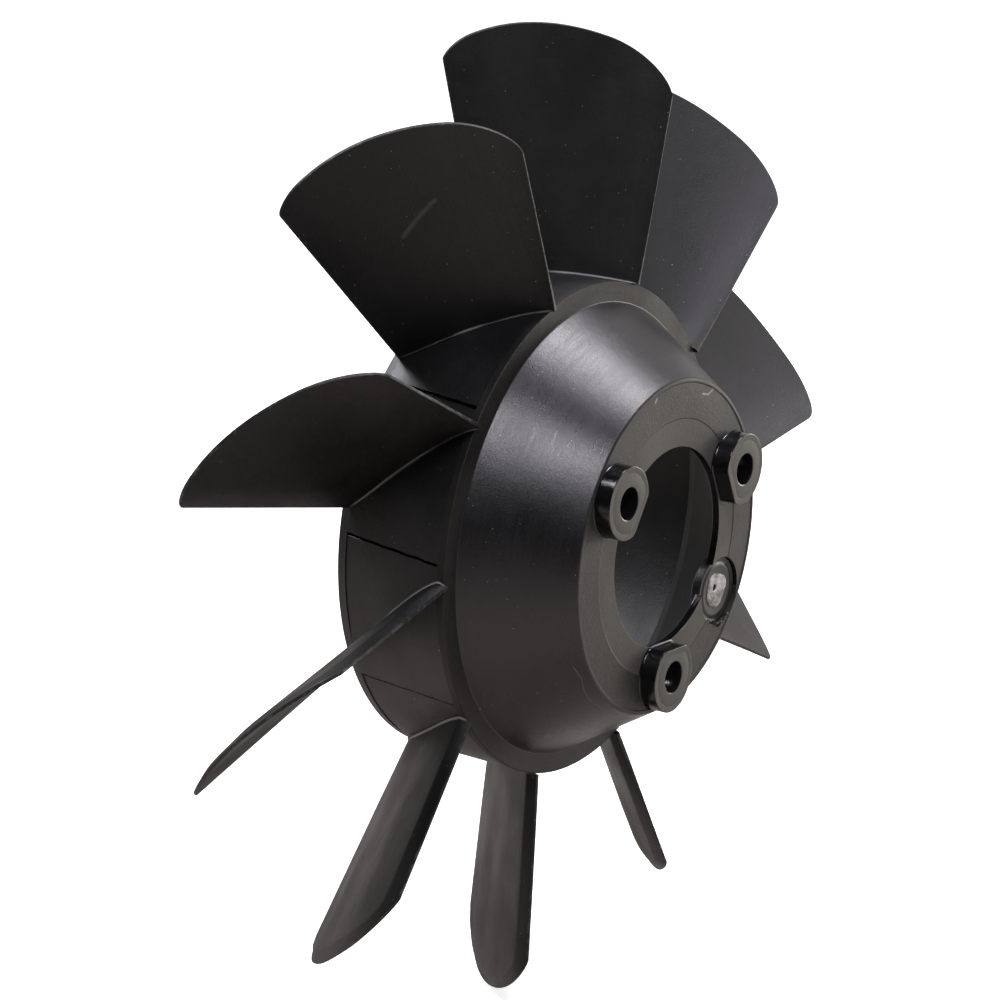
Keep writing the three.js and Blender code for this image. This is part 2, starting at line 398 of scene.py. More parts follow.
# %% Hairline scratches
hair, ask = new_tree("hairline", "Shader", {
    "Start": (0.0, 0.0, 0.0), "End": (0.0, 0.0, 0.01), "Width": 0.0003}, ("Mask",))
here = hair.place()
line = hair.vector("SUBTRACT", ask["End"], ask["Start"])
offset = hair.vector("SUBTRACT", here, ask["Start"])
along = hair.vector("DOT_PRODUCT", offset, line, output="Value")
length = hair.vector("DOT_PRODUCT", line, line, output="Value")
share = hair.add("ShaderNodeClamp", {"Value": hair.maths("DIVIDE", along, length)}).outputs["Result"]
nearest = hair.add("ShaderNodeVectorMath", {"Vector": line, "Scale": share}, operation="SCALE").outputs[0]
distance = hair.vector("LENGTH", hair.vector("SUBTRACT", offset, nearest), output="Value")
reach = hair.times(ask["Width"], hair.plus(hair.noise(here, 900.0), 0.5))
hair.give(Mask=hair.ramp(distance, 0.0, reach, 1.0, 0.0))
HAIRLINE = hair.tree
print("group", HAIRLINE.name)

# %% [markdown]
# ## Materials
# One recipe serves every black finish. It takes the plain colour and gloss, and how strongly each effect
# shows. Colour changes with the cloud and the dust, gloss with the cloud and the speckle, and the bump comes
# from the grain and the turned marks.

# %% The plastic recipe
PLASTIC_IOR = 1.49
STREAK_COLOUR = (0.05, 0.049, 0.05, 1)
WORN_COLOUR = (0.16, 0.155, 0.15, 1)
# The light grey on the next line is painted along each blade's root: a painted highlight on the fillet.
ROOT_HIGHLIGHT_COLOUR = (0.42, 0.42, 0.43, 1)
DUST_COLOUR = (0.24, 0.23, 0.22, 1)
GRAIN_DEPTH = 0.0002
TURNED_DEPTH = 0.00003


def scratch_mask(wires, scratches):
    """The strongest of several hairlines."""
    mask = 0.0
    for first, last, width in scratches:
        line = wires.group(HAIRLINE, {"Start": first, "End": last, "Width": width})["Mask"]
        mask = wires.maths("MAXIMUM", mask, line)
    return mask


def zone_mask(wires, radius, blur=0.0004):
    """One inside a radius round the axis, and nothing outside."""
    flat = wires.vector("MULTIPLY", wires.place(), (1, 0, 1))
    distance = wires.vector("LENGTH", flat, output="Value")
    return wires.ramp(distance, radius - blur, radius + blur, 1.0, 0.0)


def black_plastic(name, colour, pale, gloss, grain=0.25, turned=0.0, dust=0.0, cloud=0.5, fineness=900.0,
                  scratches=(), mark=(0.12, 0.115, 0.11), rim=0.0, streaks=0.0, zone=None, shine=0.5,
                  cloud_scale=38.0):
    """Moulded plastic: colour and pale are the two ends of its tone, and gloss is its roughness range."""
    material = bpy.data.materials.new(name)
    material.use_nodes = True
    wires = Wires(material.node_tree)
    plus, times, mix, ramp = wires.plus, wires.times, wires.mix, wires.ramp
    shader = material.node_tree.nodes["Principled BSDF"].inputs
    shader["IOR"].default_value = PLASTIC_IOR
    shader["Specular IOR Level"].default_value = shine
    pale = (*pale, 1)
    grains = wires.group(GRAIN, {"Cloud Scale": cloud_scale})
    tone = plus(times(ramp(grains["Cloud"], 0.35, 0.7), cloud),
                times(ramp(grains["Speckle"], 0.4, 0.7), 0.35))
    rough = plus(ramp(grains["Cloud"], 0.3, 0.7, *gloss), times(grains["Speckle"], 0.08))
    normal = wires.bump(grain, GRAIN_DEPTH, grains["Height"])
    if turned:
        rings = wires.group(TURNED, {"Fineness": fineness})
        tone = plus(tone, times(rings["Shade"], turned))
        rough = plus(rough, times(wires.maths("SUBTRACT", rings["Height"], 0.5), turned * 0.4))
        normal = wires.bump(turned, TURNED_DEPTH, rings["Height"], normal)
    base = mix(tone, (*colour, 1), pale)
    if zone:
        inner = zone_mask(wires, zone)
        base = mix(inner, base, mix(0.85, base, pale))
        rough = plus(rough, times(inner, 0.06))
    if streaks:
        streak = wires.group(STREAKS)["Mask"]
        base = mix(times(streak, streaks), base, STREAK_COLOUR)
        rough = plus(rough, times(streak, -0.12))
    if rim:
        worn = times(wires.field("rim"), ramp(wires.noise(wires.place(), 420.0, 3.0, 0.6), 0.5, 0.66))
        base = mix(times(worn, rim), base, WORN_COLOUR)
        # The root field paints a highlight along the fillet where each blade meets the drum, broken up by a
        # coarse noise.
        highlight_breaks = ramp(wires.noise(wires.place(), 40.0), 0.35, 0.6)
        base = mix(times(times(wires.field("root"), highlight_breaks), 0.9), base, ROOT_HIGHLIGHT_COLOUR)
    if dust:
        base = mix(times(wires.group(DUST, {"Share": dust})["Mask"], 0.7), base, DUST_COLOUR)
    if scratches:
        scratched = scratch_mask(wires, scratches)
        base = mix(times(scratched, 0.6), base, (*mark, 1))
        rough = plus(rough, times(scratched, 0.2))
    for label, value in (("Base Color", base), ("Roughness", rough), ("Normal", normal)):
        wires.feed(value, shader[label])
    return material


print("recipe ready, with groups", len(bpy.data.node_groups))

# %% [markdown]
# The scratches lie where handling left them: a hook and a nick on the front plate, and a faint wandering line
# near the cone's front edge, where two mould parts meet. Each is a few straight hairlines.

# %% Scratches
PLATE_DROP = 0.22
PLATE_LEVEL = PLATE_FRONT - PLATE_DROP


def cone_radius(ahead):
    """The cone's outside, from its crease at the shoulder to the plate."""
    return CREASE_RADIUS - CONE_SLOPE * ahead


def spot(radius, ahead, degrees):
    """A point on the wheel, in metres, from its radius, its distance ahead and its angle."""
    angle = math.radians(degrees)
    return Vector((radius * math.cos(angle) * MM, SHOULDER_Y - ahead * MM, radius * math.sin(angle) * MM))


def strokes(points, width):
    """Hairlines that join points in turn."""
    return [(first, last, width) for first, last in zip(points, points[1:])]


def on_plate(*places):
    return [spot(radius, PLATE_LEVEL, degrees) for radius, degrees in places]


hook_mark = strokes(on_plate((40.9, 66.8), (41.4, 62.3), (43.2, 59.9)), 0.0004)
nick = strokes(on_plate((42.0, 100.4), (42.6, 99.4)), 0.0006)
wandering = []
for step in range(10):
    ahead = 23.0 + 0.6 * math.sin(step * 1.9) + 0.4 * math.sin(step * 0.8)
    wandering.append(spot(cone_radius(ahead), ahead, 206 + step * 6))
witness_line = strokes(wandering, 0.00025)
print("hairlines:", len(hook_mark) + len(nick) + len(witness_line))

# %% [markdown]
# Each part of the hub has its own finish. The drum and cone are satin, the plate and the boss faces are matte
# and a little warm, and the sides of the bosses are glossy.

# %% Finishes
DRUM_FINISH = black_plastic(
    "drum_black", (0.0016, 0.0016, 0.0019), (0.0090, 0.0088, 0.0098), (0.34, 0.50), grain=0.8, turned=0.2,
    dust=0.12)
SHOULDER_FINISH = black_plastic(
    "shoulder_satin", (0.0025, 0.0024, 0.0020), (0.0125, 0.0120, 0.0105), (0.42, 0.58), grain=0.8, turned=0.3,
    cloud=0.9, shine=0.36)
CONE_FINISH = black_plastic(
    "cone_satin", (0.0045, 0.0045, 0.0054), (0.0125, 0.0120, 0.0135), (0.25, 0.32), grain=0.45, turned=0.5,
    dust=0.16, fineness=700.0, scratches=witness_line)
PLATE_FINISH = black_plastic(
    "plate_matte", (0.0115, 0.0116, 0.0099), (0.058, 0.0568, 0.0493), (0.40, 0.52), grain=0.8, turned=0.2,
    dust=0.12, cloud=0.15, scratches=hook_mark + nick, mark=(0.6, 0.57, 0.53), zone=INNER_ZONE_RADIUS * MM,
    shine=0.40)
FACE_FINISH = black_plastic(
    "boss_face_matte", (0.042, 0.039, 0.035), (0.095, 0.089, 0.079), (0.46, 0.60), grain=0.6, dust=0.1)
GLOSS_FINISH = black_plastic("boss_gloss", (0.003, 0.003, 0.0035), (0.006, 0.006, 0.0065), (0.04, 0.11))
# The gate pad is darker than the plate: partly its own black tone, partly painted shade for the recess it sits
# in.
PAD_SHADED_FINISH = black_plastic(
    "gate_pad_dark", (0.005, 0.005, 0.005), (0.014, 0.0135, 0.013), (0.30, 0.42), grain=0.6)
# The inside of the cup is matte, and its colour and sheen are kept lower than outside: painted shade for the
# hollow.
INNER_SHADED_FINISH = black_plastic(
    "inner_matte_shaded", (0.0015, 0.0015, 0.0015), (0.006, 0.0058, 0.0056), (0.40, 0.50), grain=0.5, turned=0.2,
    dust=0.05, shine=0.28)
STUB_FINISH = black_plastic(
    "sheared_gate", (0.10, 0.096, 0.09), (0.70, 0.69, 0.665), (0.6, 0.75), grain=0.9, cloud=0.8,
    cloud_scale=330.0)
print("finishes:", len(bpy.data.materials))

# %% [markdown]
# ## Meshes from rows of points
# Most parts of the hub are closed bands: an outline in radius and depth, carried round the axis. The same
# helpers also take rows whose points are pushed in or out, which the drum, the bosses and the blades need.

# %% Mesh helpers


def face_out(mesh, fill=False):
    """Turns the faces outwards, after closing the holes if asked."""
    work = bmesh.new()
    work.from_mesh(mesh)
    if fill:
        bmesh.ops.holes_fill(work, edges=work.edges)
    bmesh.ops.recalc_face_normals(work, faces=work.faces)
    work.to_mesh(mesh)
    work.free()


def to_object(name, points, faces, materials, sharp=40, face_material=None):
    """A mesh object from points in millimetres (X, ahead, Z), with its faces turned outwards."""
    points = np.asarray(points, dtype=float).reshape(-1, 3)
    placed = np.stack([points[:, 0] * MM, SHOULDER_Y - points[:, 1] * MM, points[:, 2] * MM], 1)
    mesh = bpy.data.meshes.new(name)
    mesh.from_pydata(placed.tolist(), [], faces)
    for material in materials:
        mesh.materials.append(material)
    face_out(mesh)
    if face_material is not None:
        mesh.polygons.foreach_set("material_index", face_material)
    mesh.shade_smooth()
    mesh.set_sharp_from_angle(angle=math.radians(sharp))
    thing = bpy.data.objects.new(name, mesh)
    bpy.context.collection.objects.link(thing)
    return thing


def on_wheel(radius, ahead, angle):
    """Points (X, ahead, Z) in millimetres, for angles in radians."""
    return np.stack(np.broadcast_arrays(radius * np.cos(angle), ahead, radius * np.sin(angle)), -1)


def round_angles(columns):
    return np.arange(columns) * 2 * math.pi / columns


def band_faces(rows, columns, closed=True):
    """Quads between rows of points that run round. A closed band also joins its last row to its first."""
    row, column = np.meshgrid(np.arange(rows if closed else rows - 1), np.arange(columns), indexing="ij")
    next_row, next_column = (row + 1) % rows, (column + 1) % columns
    corners = [row * columns + column, row * columns + next_column,
               next_row * columns + next_column, next_row * columns + column]
    return np.stack([corner.ravel() for corner in corners], axis=1).tolist()


def rounded(corners, steps=5):
    """A closed outline with eased corners (radius, ahead, rounding) and support points by each curve."""
    outline = []
    for index, (radius, ahead, rounding) in enumerate(corners):
        here = np.array([radius, ahead])
        if not rounding:
            outline.append(here)
            continue
        before = np.array(corners[index - 1][:2]) - here
        after = np.array(corners[(index + 1) % len(corners)][:2]) - here
        before *= rounding / np.linalg.norm(before)
        after *= rounding / np.linalg.norm(after)
        outline.append(here + before * 1.3)
        for share in np.linspace(0, 1, steps + 1):
            outline.append(here + before * (1 - share) ** 2 + after * share ** 2)
        outline.append(here + after * 1.3)
    return np.array(outline)


def turn(name, outline, material, columns=360):
    """Carries an outline round the axis."""
    points = on_wheel(outline[:, :1], outline[:, 1:], round_angles(columns))
    thing = to_object(name, points, band_faces(len(outline), columns), [material])
    print(f"{name}: {len(outline)} rows, {len(thing.data.polygons)} faces")
    return thing


def outward_share(polygon):
    """How squarely a face looks away from the axis: 1 for straight out, -1 for straight in."""
    middle = polygon.center
    return (polygon.normal.x * middle.x + polygon.normal.z * middle.z) / math.hypot(middle.x, middle.z)


def line_inside(thing, finish):
    """Gives the faces that look at the axis their own finish."""
    thing.data.materials.append(finish)
    for polygon in thing.data.polygons:
        if outward_share(polygon) < -0.3:
            polygon.material_index = 1


def stand_for(thing, node):
    """The piece rides on the body and takes the place of its CAD node."""
    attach(thing, BODY)
    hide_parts(node)


def settle(thing):
    """Turns a piece with modifiers into a plain mesh."""
    graph = bpy.context.evaluated_depsgraph_get()
    result = bpy.data.meshes.new_from_object(thing.evaluated_get(graph))
    thing.modifiers.clear()
    thing.data = result


print("mesh helpers ready, inner finish", INNER_SHADED_FINISH.name)

# %% [markdown]
# ## The drum
# The blades sprout from the drum. Their root line runs back and round in one sweep, with a slight bow and a
# hook near its front end. The drum's mesh and the blades share this rule.

# %% Blade rule
BLADE_COUNT = 10
PITCH = 360 / BLADE_COUNT
BLADE_PHASE = -4.0
ROOT_AHEAD = 1.1
ROOT_BEHIND = 31.2
ROOT_SWEEP = 23.9
ROOT_BOW = 1.7
ROOT_HOOK = 0.9


def arch(chord):
    """A bow across the chord, one in the middle and nothing at the ends."""
    return 4 * chord * (1 - chord)


def hook(chord):
    """A bow that peaks near the front edge."""
    return 12.2 * chord ** 4 * (1 - chord)


def root_degrees(chord):
    """Where the root line is, round the drum, for a share of the chord from back to front."""
    return BLADE_PHASE + ROOT_SWEEP * (1 - chord) - ROOT_BOW * arch(chord) - ROOT_HOOK * hook(chord)


print("blade rule:", BLADE_COUNT, "blades, root sweeps", ROOT_SWEEP, "degrees")

# %% [markdown]
# The mould halves part between the blades. Each gap shows the parting as a small step and groove that runs
# from the back lip to the front band, with the surface a third of a millimetre lower on one side. The columns
# of the mesh follow that slanting line, so the step stays crisp.

# %% Drum with its parting steps
STEP_DEPTH = 0.34
STEP_BACK = 29.4
STEP_SLANT = 2.6
STEP_EDGE = 0.05
GROOVE_WIDTH = 0.62
GROOVE_DEPTH = 0.90
BAND_DEPTH = 2.2
LOW_COLUMNS = 26
HIGH_COLUMNS = 34
FADE_COLUMNS = 8
SECTOR_COLUMNS = 3 + LOW_COLUMNS + HIGH_COLUMNS


def drum_radius(ahead):
    """The drum narrows a little towards its back."""
    return DRUM_RADIUS + (LIP_RADIUS - DRUM_RADIUS) * np.clip(ahead / LIP_FRONT, 0, 1)


def drum_angles(ahead):
    """Column angles for one row of the drum, and how deep each column lies."""
    chord = np.clip((ahead + ROOT_BEHIND) / (ROOT_AHEAD + ROOT_BEHIND), 0, 1)
    step = STEP_BACK + STEP_SLANT * (ahead - LIP_FRONT) / (-BAND_DEPTH - LIP_FRONT)
    step += 0.06 * math.sin(ahead * 0.9) + 0.03 * math.sin(ahead * 3.1)
    sink = STEP_DEPTH + GROOVE_DEPTH * (0.85 + 0.2 * math.sin(ahead * 1.1))
    blade = root_degrees(chord) - BLADE_PHASE
    start = step - PITCH + STEP_EDGE
    groove = [start, start + GROOVE_WIDTH * 0.7, start + GROOVE_WIDTH]
    low = np.linspace(start + GROOVE_WIDTH + 0.12, blade, LOW_COLUMNS)
    high = np.linspace(blade, step - STEP_EDGE, HIGH_COLUMNS + 1)[1:]
    sector = np.concatenate([groove, low, high]) + BLADE_PHASE
    fade = np.interp(np.arange(LOW_COLUMNS), [LOW_COLUMNS - FADE_COLUMNS, LOW_COLUMNS - 1], [1, 0])
    depth = np.concatenate([[sink, sink, STEP_DEPTH + 0.1], STEP_DEPTH * fade, np.zeros(HIGH_COLUMNS)])
    angles = np.concatenate([sector + PITCH * k for k in range(BLADE_COUNT)])
    return np.radians(angles), np.tile(depth, BLADE_COUNT)


def make_drum():
    rows = []
    for ahead in np.linspace(LIP_FRONT, -BAND_DEPTH, 60):
        angles, depth = drum_angles(ahead)
        rows.append(on_wheel(drum_radius(ahead) - 0.1 - depth, ahead, angles))
    for ahead in np.linspace(-BAND_DEPTH, LIP_FRONT, 6):
        rows.append(on_wheel(drum_radius(ahead) - WALL, ahead, drum_angles(ahead)[0]))
    return to_object("drum", rows, band_faces(len(rows), len(rows[0])), [DRUM_FINISH], sharp=25)


drum = make_drum()
line_inside(drum, INNER_SHADED_FINISH)
# The two faces of each parting groove take the darker, duller inner finish: painted shade in the groove, on
# top of the darkening its depth gives.
for polygon in drum.data.polygons:
    if polygon.index % SECTOR_COLUMNS < 2:
        polygon.material_index = 1
stand_for(drum, "hub_drum")
print("drum:", len(drum.data.polygons), "faces, step", STEP_DEPTH, "mm")

# %% [markdown]
# ## Lip, shoulder and cone
# These are turned shapes. The lip steps in by a few tenths. The shoulder has a narrow band round its rim
# and a sharp front corner that catches the light. The cone meets the shoulder in a small fillet.

# %% Turned parts of the hub
WALL_ACROSS = WALL * math.hypot(1, CONE_SLOPE)
LIP_STEP = 0.35
CREASE_FILLET = 0.22

rear_lip = turn("rear_lip_band", rounded([
    (LIP_RADIUS - LIP_STEP + 0.15, LIP_FRONT, 0.12),
    (LIP_RADIUS - LIP_STEP - 0.15, LIP_BACK, 0.5),
    (LIP_RADIUS - WALL, LIP_BACK, 0.4),
    (LIP_RADIUS - WALL, LIP_FRONT + 0.2, 0),
    (LIP_RADIUS - LIP_STEP - 0.3, LIP_FRONT + 0.2, 0),
]), DRUM_FINISH)
stand_for(rear_lip, "rear_lip")

shoulder = turn("shoulder_band", rounded([
    (DRUM_RADIUS, 0, 0.3),
    (CREASE_RADIUS - 1.5, 0, 0),
    (CREASE_RADIUS - WALL_ACROSS, 0, 0),
    (CREASE_RADIUS - WALL_ACROSS + CONE_SLOPE * WALL, -WALL, 0.25),
    (DRUM_RADIUS - WALL - 0.4, -WALL, 0),
    (DRUM_RADIUS - WALL + 0.8, -BAND_DEPTH - 0.1, 0),
    (DRUM_RADIUS, -BAND_DEPTH, 0.12),
]), SHOULDER_FINISH)
stand_for(shoulder, "shoulder_ring")

cone = turn("cone_skin", np.array(
    [(CREASE_RADIUS + CREASE_FILLET * (1 - share) ** 2 - CONE_SLOPE * CREASE_FILLET * share ** 2,
      CREASE_FILLET * share ** 2) for share in np.linspace(0, 1, 7)]
    + [(cone_radius(ahead), ahead) for ahead in np.linspace(1.2, PLATE_BACK, 12)]
    + [(cone_radius(ahead) - WALL_ACROSS, ahead) for ahead in np.linspace(PLATE_BACK, 0, 8)]
), CONE_FINISH, columns=480)
line_inside(cone, INNER_SHADED_FINISH)
stand_for(cone, "cone_shell")

# %% [markdown]
# ## Front plate
# The plate's rim carries on the line of the cone, turns over a rounded edge and drops by about a fifth of a
# millimetre to the flat. The zone round the opening sits a hair lower again. Booleans cut the bolt holes and
# the round notch of the gate, since these break the turned shape.

# %% Plate
RIM_WIDTH = 0.9
ZONE_DROP = 0.12
ZONE_LEVEL = PLATE_LEVEL - ZONE_DROP


def cutter(x, z, radius, columns=96):
    """A plain round solid that reaches through the plate."""
    ends = np.array([[PLATE_BACK - 3], [PLATE_FRONT + 3]])
    points = on_wheel(radius, ends, round_angles(columns)) + (x, 0, z)
    thing = to_object("cutter", points, band_faces(2, columns, closed=False), [])
    face_out(thing.data, fill=True)
    return thing


def cut(thing, tools):
    """Takes each tool out of the piece and deletes the tool."""
    for tool in tools:
        modifier = thing.modifiers.new("cut", "BOOLEAN")
        modifier.operation = "DIFFERENCE"
        modifier.solver = "EXACT"
        modifier.object = tool
    settle(thing)
    for tool in tools:
        bpy.data.objects.remove(tool)
    thing.data.set_sharp_from_angle(angle=math.radians(30))


rim_radius = cone_radius(PLATE_FRONT)
plate = turn("front_plate", rounded([
    (cone_radius(PLATE_BACK), PLATE_BACK, 0),
    (rim_radius, PLATE_FRONT, 0.55),
    (rim_radius - RIM_WIDTH, PLATE_FRONT, 0.1),
    (rim_radius - RIM_WIDTH - PLATE_DROP, PLATE_LEVEL, 0.1),
    (INNER_ZONE_RADIUS + ZONE_DROP, PLATE_LEVEL, 0.08),
    (INNER_ZONE_RADIUS - ZONE_DROP, ZONE_LEVEL, 0.08),
    (OPENING_RADIUS, ZONE_LEVEL, 0.15),
    (OPENING_RADIUS, PLATE_BACK, 0.2),
    (cone_radius(PLATE_BACK) - WALL_ACROSS, PLATE_BACK, 0),
]), PLATE_FINISH)
holes = []
for index in range(BOSS_COUNT):
    angle = math.radians(BOLT_ANGLE + index * 360 / BOSS_COUNT)
    holes.append(cutter(BOLT_RADIUS * math.cos(angle), BOLT_RADIUS * math.sin(angle), BOLT_HOLE + 0.4))
holes.append(cutter(GATE_X, GATE_Z, PAD_RADIUS + 0.15))
cut(plate, holes)
plate.data.materials.append(CONE_FINISH)
plate.data.materials.append(GLOSS_FINISH)
for polygon in plate.data.polygons:
    reach = math.hypot(polygon.center.x, polygon.center.z) / MM
    ahead = ahead_of_shoulder(polygon.center.y)
    if outward_share(polygon) > 0.5 and ahead < PLATE_FRONT - 0.2 and reach > rim_radius - 0.2:
        polygon.material_index = 1
    # The walls of the opening, the bolt holes and the gate notch take the black gloss finish: painted shade,
    # darker than the plate they belong to.
    elif abs(polygon.normal.y) < 0.5 and reach < rim_radius - 2:
        polygon.material_index = 2
stand_for(plate, "mounting_plate")
print("plate:", len(plate.data.polygons), "faces after cutting")

# %% [markdown]
# ## One tree that copies a piece round the axis
# Bosses and blades repeat at even stations. A small geometry tree turns a piece to one station, so each copy
# becomes a piece of its own: it makes the piece an instance, turns it about Y, realizes it and sets a finish.

# %% Station tree


def realize(wires, instances, finish, chosen=True):
    """Ends a geometry tree: the instances become real and take their finish."""
    real = wires.add("GeometryNodeRealizeInstances", {"Geometry": instances}).outputs[0]
    sockets = {"Geometry": real, "Selection": chosen, "Material": finish}
    wires.give(Geometry=wires.add("GeometryNodeSetMaterial", sockets).outputs[0])


def run_tree(name, mesh, tree, values):
    """A plain mesh object: what a geometry tree makes of a mesh, with its inputs set by name."""
    thing = bpy.data.objects.new(name, mesh)
    bpy.context.collection.objects.link(thing)
    modifier = thing.modifiers.new(name, "NODES")
    modifier.node_group = tree
    for socket in tree.interface.items_tree:
        if socket.in_out == "INPUT" and socket.name in values:
            modifier[socket.identifier] = values[socket.name]
    settle(thing)
    return thing


station, ask = new_tree("station_copy", "Geometry", {
    "Geometry": "Geometry", "Station": 0, "Stations": 10, "Finish": "Material", "Keep Finish": False,
}, ["Geometry"])
piece = station.add("GeometryNodeGeometryToInstance", {"Geometry": ask["Geometry"]}).outputs[0]
angle = station.times(station.maths("DIVIDE", ask["Station"], ask["Stations"]), -2 * math.pi)
turned = station.add("GeometryNodeRotateInstances", {"Instances": piece, "Rotation": station.axes(Y=angle)})
bare = station.add("FunctionNodeBooleanMath", {0: ask["Keep Finish"]}, operation="NOT").outputs[0]
realize(station, turned.outputs[0], ask["Finish"], bare)
STATION_TREE = station.tree


def copy_at_station(pattern, name, number, stations, finish, keep_finish=False, sharp=40):
    """A separate piece: the pattern turned to one station."""
    thing = run_tree(name, pattern.data.copy(), STATION_TREE, {
        "Station": number, "Stations": stations, "Finish": finish, "Keep Finish": keep_finish})
    thing.data.name = name
    thing.data.shade_smooth()
    thing.data.set_sharp_from_angle(angle=math.radians(sharp))
    return thing


print("tree", STATION_TREE.name, "with", len(STATION_TREE.nodes), "nodes")

# %% [markdown]
# ## Bosses
# A boss is round with one flat, which lines up with the edge of the opening. Its side is glossy, because the
# mould pin was polished, and its face is matte. The outline is one formula: the smaller of the round and the
# flat, joined softly so the corners are a little rounded. The bore runs on through the plate.

# %% Boss pattern
BOSS_COLUMNS = 144
BOSS_FLARE = 0.6
BOSS_EDGE = 0.22
CORNER_HARDNESS = 40


def boss_reach(angles, inset):
    """Distance from the bore's centre to the outline, drawn in by an inset, for angles from inwards."""
    straight = (BOLT_RADIUS - OPENING_RADIUS - inset) / np.maximum(np.cos(angles), 1e-3)
    round_reach = BOSS_RADIUS - inset
    return (round_reach ** -CORNER_HARDNESS + straight ** -CORNER_HARDNESS) ** (-1 / CORNER_HARDNESS)


def make_boss():
    """Rows of (inset, ahead) outside, rows of (extra radius, ahead) in the bore, and one at the foot."""
    angles = round_angles(BOSS_COLUMNS)
    shares = np.linspace(0, 1, 6)
    side = [(-BOSS_FLARE * (1 - share) ** 2, ZONE_LEVEL + BOSS_FLARE * share ** 2) for share in shares]
    side += [(0, ZONE_LEVEL + 1.0), (0, BOSS_FRONT - BOSS_EDGE - 0.1)]
    side += [(BOSS_EDGE * share ** 2, BOSS_FRONT - BOSS_EDGE * (1 - share) ** 2) for share in shares]
    face = [(BOSS_EDGE + 0.1, BOSS_FRONT), (1.6, BOSS_FRONT), (1.72, BOSS_FRONT - 0.035), (1.84, BOSS_FRONT)]
    bore = [(0.5, BOSS_FRONT), (0.3, BOSS_FRONT), (0.08, BOSS_FRONT - 0.08), (0, BOSS_FRONT - 0.35),
            (0, BOSS_FRONT - 3), (0, PLATE_BACK + 0.2), (0.2, PLATE_BACK), (0.6, PLATE_BACK),
            (0.6, ZONE_LEVEL - 0.8)]
    rings = [(boss_reach(angles, inset), ahead) for inset, ahead in side + face]
    rings += [(BOLT_HOLE + extra, ahead) for extra, ahead in bore]
    rings.append((boss_reach(angles, -BOSS_FLARE), ZONE_LEVEL - 0.3))
    centre = spot(BOLT_RADIUS, 0, BOLT_ANGLE) / MM
    facing = angles + math.radians(BOLT_ANGLE) + math.pi
    points = [on_wheel(reach, ahead, facing) + (centre.x, 0, centre.z) for reach, ahead in rings]
    row = np.repeat(np.arange(len(rings)), BOSS_COLUMNS)
    matte = (row >= len(side) - 1) & (row <= len(side) + len(face))
    return to_object("boss_pattern", points, band_faces(len(rings), BOSS_COLUMNS),
                     [GLOSS_FINISH, FACE_FINISH], face_material=matte.astype(int))


boss_pattern = make_boss()
for index in range(BOSS_COUNT):
    boss = copy_at_station(boss_pattern, f"bolt_boss_{index + 1}", index, BOSS_COUNT, GLOSS_FINISH, True)
    stand_for(boss, f"boss_{index + 1}")
bpy.data.objects.remove(boss_pattern)
print("bosses:", BOSS_COUNT, "of", len(boss.data.polygons), "faces")

# %% [markdown]
# ## Gate
# The pad is a shallow dish. The stub on it is where the runner broke away: an uneven pale patch with a
# pinhole in a raised ring. Both are polar grids. The stub's rim and height wander by a few sine waves, so
# they stay the same on each run.

# %% Gate pad and stub
DOME_COLUMNS = 96
PIN_OFFSET = 1.9
STUB_TOP = PAD_FRONT + 0.75
PIN_ROW = 7


def dome(name, x, z, rings, back, material):
    """A closed round piece from rings of (radius, ahead), each a number or an array round the rim."""
    points = [on_wheel(radius, ahead, round_angles(DOME_COLUMNS)) + (x, 0, z) for radius, ahead in rings]
    points.append([(x, np.mean(rings[-1][1]), z), (x, back, z)])
    last = (len(rings) - 1) * DOME_COLUMNS
    middle = last + DOME_COLUMNS
    faces = band_faces(len(rings), DOME_COLUMNS, closed=False)
    for column in range(DOME_COLUMNS):
        after = (column + 1) % DOME_COLUMNS
        faces += [[last + column, last + after, middle], [after, column, middle + 1]]
    return to_object(name, np.concatenate(points), faces, [material])


rim = [(0.1, 0.3), (-0.1, 0.55), (-0.5, 0.55), (-0.9, 0.25), (-1.5, 0.25), (-1.9, 0.5), (-2.5, 0.5)]
pad = dome("gate_dish", GATE_X, GATE_Z, [
    (PAD_RADIUS - 0.4, PAD_BACK),
    (PAD_RADIUS + 0.05, PAD_BACK + 0.4),
    *[(PAD_RADIUS + out, PAD_FRONT + up) for out, up in rim],
    (PAD_RADIUS * 0.62, PAD_FRONT + 0.35),
    (PAD_RADIUS * 0.3, PAD_FRONT + 0.35),
], PAD_BACK, PAD_SHADED_FINISH)

wander = round_angles(DOME_COLUMNS)
ragged = 4.8 + 0.25 * np.sin(3 * wander + 1) + 0.22 * np.sin(4 * wander) + 0.05 * np.sin(11 * wander + 2)
uneven = 0.05 * np.sin(2 * wander) + 0.02 * np.sin(5 * wander + 1)
stub = dome("gate_stub_patch", STUB_X, STUB_Z, [
    (ragged, PAD_FRONT),
    (ragged, STUB_TOP - 0.25 + uneven),
    (ragged * 0.94, STUB_TOP - 0.08 + uneven),
    (ragged * 0.7, STUB_TOP + uneven),
    (ragged * 0.45, STUB_TOP + uneven * 0.5),
    (1.45, STUB_TOP + 0.02),
    (1.30, STUB_TOP + 0.14),
    (1.05, STUB_TOP + 0.14),
    (0.90, STUB_TOP - 0.05),
    (0.80, STUB_TOP - 0.6),
    (0.3, STUB_TOP - 0.7),
], PAD_FRONT, STUB_FINISH)
towards_axis = Vector((-STUB_X, -STUB_Z)).normalized() * PIN_OFFSET * MM
for vertex in stub.data.vertices:
    reach = math.hypot(vertex.co.x - STUB_X * MM, vertex.co.z - STUB_Z * MM) / MM
    share = max(0.0, 1 - max(reach - 1.5, 0) / 3.0)
    vertex.co.x += towards_axis.x * share
    vertex.co.z += towards_axis.y * share
stub.data.materials.append(GLOSS_FINISH)
